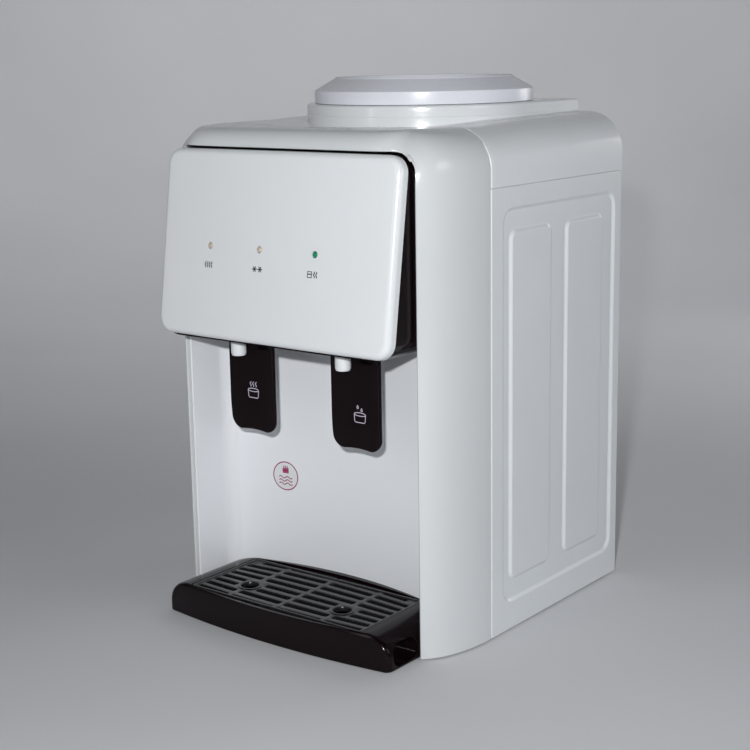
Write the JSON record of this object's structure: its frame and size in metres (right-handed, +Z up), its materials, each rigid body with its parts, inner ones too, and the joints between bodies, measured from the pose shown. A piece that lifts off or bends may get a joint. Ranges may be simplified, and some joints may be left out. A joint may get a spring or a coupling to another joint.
{
  "type": "countertop water dispenser",
  "caption": "Countertop hot and cold water dispenser: bottle seat on top, tilted control panel, push-back levers over a recessed bay and a slide-out drip tray.",
  "frame": {"origin": "on the worktop, under the middle of the dispenser's bounding box", "axes": "+Z up, +X to the right for someone facing the taps, -Y towards the user"},
  "size_m": [0.3, 0.332, 0.462],
  "materials": {
    "white_gloss": "gloss white moulded plastic",
    "white_satin": "satin cool white plastic",
    "white_steel": "white painted sheet steel",
    "black_gloss": "piano black moulded plastic",
    "black_matte": "matte black plastic",
    "grey_plastic": "grey moulded plastic",
    "steel": "stainless steel sheet and wire",
    "aluminium": "extruded aluminium",
    "silicone": "milky food-grade silicone",
    "rubber": "black rubber",
    "foam": "moulded foam",
    "ceramic": "off-white ceramic or hard plastic",
    "circuit_board": "green circuit board",
    "clear_lens": "milky clear lens, unlit",
    "green_lens": "green lens, lit",
    "red_rocker": "red rocker",
    "green_rocker": "green rocker"
  },
  "bodies": {
    "cabinet": {"front_shell": "white_gloss", "top_cover": "white_gloss", "left_side_panel": "white_steel", "right_side_panel": "white_steel", "back_panel": "white_steel", "base_plate": "grey_plastic", "foot_front_left": "rubber", "foot_front_right": "rubber", "foot_rear_left": "rubber", "foot_rear_right": "rubber", "bay_liner": "white_gloss", "wedge_housing": "black_gloss", "fascia_panel": "white_gloss", "heating_lamp": "clear_lens", "cooling_lamp": "clear_lens", "warm_lamp": "green_lens", "indicator_board": "circuit_board", "hot_tap_body": "black_matte", "hot_lever_pin": "steel", "hot_spout": "white_gloss", "hot_return_spring": "steel", "cold_tap_body": "black_matte", "cold_lever_pin": "steel", "cold_spout": "white_gloss", "cold_return_spring": "steel", "cold_tank": "steel", "tank_insulation": "foam", "tank_shelf": "white_steel", "cold_block": "aluminium", "peltier_module": "ceramic", "heat_sink": "aluminium", "fan_frame": "black_matte", "hot_tank": "steel", "heater_band": "aluminium", "hot_thermostat": "ceramic", "cutout_thermostat": "ceramic", "tank_stand": "steel", "hot_outlet_hose": "silicone", "cold_outlet_hose": "silicone", "feed_hose": "silicone", "drain_hose": "silicone", "drain_outlet": "white_satin", "switch_bezel": "black_matte", "power_inlet": "black_matte", "power_board": "circuit_board", "transformer": "steel"},
    "hot_lever": {"hot_lever": "black_gloss"},
    "cold_lever": {"cold_lever": "black_gloss"},
    "hot_plunger": {"hot_valve_plunger": "ceramic"},
    "cold_plunger": {"cold_valve_plunger": "ceramic"},
    "tray": {"drip_tray": "black_gloss"},
    "grate": {"drip_grate": "black_gloss"},
    "collar": {"bottle_collar": "white_satin", "collar_gasket": "silicone", "water_guide": "white_satin"},
    "fan": {"fan_rotor": "black_matte"},
    "heating_rocker": {"heating_switch": "red_rocker"},
    "cooling_rocker": {"cooling_switch": "green_rocker"},
    "drain_plug": {"drain_cap": "grey_plastic"}
  },
  "joints": [
    {"name": "hot_lever_press", "type": "hinge", "parent": "cabinet", "child": "hot_lever", "pos_m": [-0.057, -0.104, 0.284], "axis": [1, 0, 0], "range_deg": [0, 9], "stiffness_Nm_per_rad": 1.5, "springref_deg": -5.73},
    {"name": "cold_lever_press", "type": "hinge", "parent": "cabinet", "child": "cold_lever", "pos_m": [0.057, -0.104, 0.284], "axis": [1, 0, 0], "range_deg": [0, 9], "stiffness_Nm_per_rad": 1.5, "springref_deg": -5.73},
    {"name": "hot_plunger_push", "type": "slide", "parent": "cabinet", "child": "hot_plunger", "axis": [0, 0, -1], "range_m": [0, 0.0036], "deforming": ["hot_return_spring"]},
    {"name": "cold_plunger_push", "type": "slide", "parent": "cabinet", "child": "cold_plunger", "axis": [0, 0, -1], "range_m": [0, 0.0036], "deforming": ["cold_return_spring"]},
    {"name": "drip_tray_pull", "type": "slide", "parent": "cabinet", "child": "tray", "axis": [0, -1, 0], "range_m": [0, 0.12]},
    {"name": "drip_grate_lift", "type": "slide", "parent": "tray", "child": "grate", "axis": [0, 0, 1], "range_m": [0, 0.05]},
    {"name": "collar_lift", "type": "slide", "parent": "cabinet", "child": "collar", "axis": [0, 0, 1], "range_m": [0, 0.09]},
    {"name": "fan_spin", "type": "hinge", "parent": "cabinet", "child": "fan", "pos_m": [0, 0.144, 0.32], "axis": [0, 1, 0], "continuous": true},
    {"name": "heating_switch_rock", "type": "hinge", "parent": "cabinet", "child": "heating_rocker", "pos_m": [0.1, 0.15, 0.1595], "axis": [0, 0, 1], "range_deg": [-20, 0]},
    {"name": "cooling_switch_rock", "type": "hinge", "parent": "cabinet", "child": "cooling_rocker", "pos_m": [0.1, 0.15, 0.1365], "axis": [0, 0, 1], "range_deg": [-20, 0]},
    {"name": "drain_cap_off", "type": "slide", "parent": "cabinet", "child": "drain_plug", "axis": [0, 1, 0], "range_m": [0, 0.02]}
  ],
  "couplings": [
    {"joint": "hot_plunger_push", "follows": "hot_lever_press", "m_per_rad": 0.022},
    {"joint": "cold_plunger_push", "follows": "cold_lever_press", "m_per_rad": 0.022}
  ]
}
